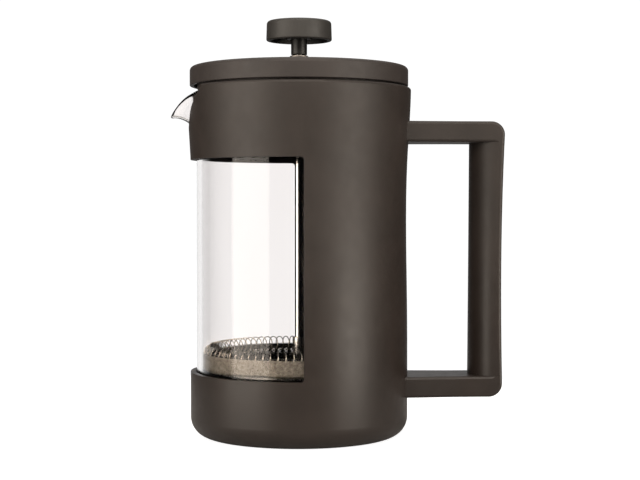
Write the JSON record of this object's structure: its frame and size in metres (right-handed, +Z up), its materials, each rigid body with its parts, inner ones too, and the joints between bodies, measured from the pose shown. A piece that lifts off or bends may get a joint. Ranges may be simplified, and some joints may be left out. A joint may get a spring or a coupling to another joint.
{
  "type": "french press",
  "caption": "Glass coffee press in a matte plastic casing with a side window, squared strap handle, pouring lip, flat lid and a sprung mesh plunger",
  "frame": {"origin": "centre of the flat underside of the casing, on the beaker's axis", "axes": "+Z up along the plunger rod; +X towards the handle; the pouring lip points to -X; +Y completes a right-handed frame"},
  "size_m": [0.1542, 0.1042, 0.1929],
  "materials": {
    "casing_plastic": "matte fine texture",
    "handle_plastic": "matte fine texture",
    "lid_plastic": "matte fine texture",
    "strainer_plastic": "matte",
    "knob_plastic": "matte fine texture",
    "stem_plastic": "gloss",
    "beaker_glass": "clear",
    "rod_steel": "polished",
    "guide_steel": "satin",
    "hub_steel": "polished",
    "plate_steel": "bright pressed",
    "spring_steel": "drawn wire",
    "mesh_steel": "woven wire",
    "cross_steel": "pressed",
    "nut_steel": "turned",
    "screw_steel": "turned",
    "insert_brass": "turned"
  },
  "bodies": {
    "casing": {"casing": "casing_plastic", "handle": "handle_plastic", "handle_screws": "screw_steel"},
    "beaker": {"glass_beaker": "beaker_glass"},
    "lid": {"lid_cover": "lid_plastic", "lid_strainer": "strainer_plastic", "rod_guide": "guide_steel"},
    "plunger": {"plunger_rod": "rod_steel", "knob_stem": "stem_plastic", "knob": "knob_plastic", "knob_insert": "insert_brass"},
    "filter": {"filter_hub": "hub_steel", "spiral_plate": "plate_steel", "coil_spring": "spring_steel", "mesh_screen": "mesh_steel", "cross_plate": "cross_steel", "filter_nut": "nut_steel"}
  },
  "joints": [
    {"name": "beaker_lift", "type": "slide", "parent": "casing", "child": "beaker", "axis": [0, 0, 1], "range_m": [0, 0.17]},
    {"name": "lid_lift", "type": "slide", "parent": "beaker", "child": "lid", "axis": [0, 0, 1], "range_m": [0, 0.14]},
    {"name": "plunge", "type": "slide", "parent": "lid", "child": "plunger", "axis": [0, 0, 1], "range_m": [0, 0.104]},
    {"name": "filter_unscrew", "type": "hinge", "parent": "plunger", "child": "filter", "pos_m": [0, 0, 0.04], "axis": [0, 0, 1], "continuous": true}
  ]
}
